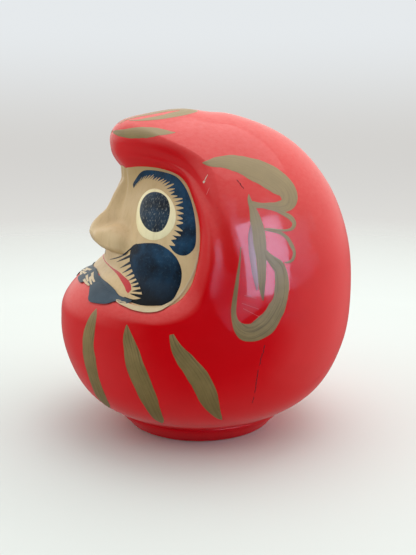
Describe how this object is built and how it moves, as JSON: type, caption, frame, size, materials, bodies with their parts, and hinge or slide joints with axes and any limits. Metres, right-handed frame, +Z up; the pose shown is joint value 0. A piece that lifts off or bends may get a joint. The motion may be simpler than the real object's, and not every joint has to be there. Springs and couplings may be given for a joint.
{
  "type": "daruma doll",
  "caption": "Hooded round papier-mache doll with a recessed painted face, jutting nose, raised eyes and a weighted low foot.",
  "frame": {"origin": "middle of the foot's underside, on the surface that the doll stands on", "axes": "+Z up towards the crown, -Y the way the doll faces, +X towards the doll's left side"},
  "size_m": [0.2296, 0.2244, 0.2429],
  "materials": {
    "red_lacquer": "satin",
    "face_paint": "satin",
    "eye_white": "satin",
    "clay": "matte",
    "plain_paper": "matte"
  },
  "bodies": {
    "root": {"front_shell": "red_lacquer", "hood_lip": "red_lacquer", "rear_shell": "red_lacquer", "face_panel": "face_paint", "nose": "face_paint", "left_eye": "eye_white", "right_eye": "eye_white", "foot_ring": "red_lacquer", "base_weight": "clay", "bottom_disc": "plain_paper", "seam_tape_left": "plain_paper", "seam_tape_right": "plain_paper", "seam_tape_crown": "plain_paper"}
  },
  "joints": []
}
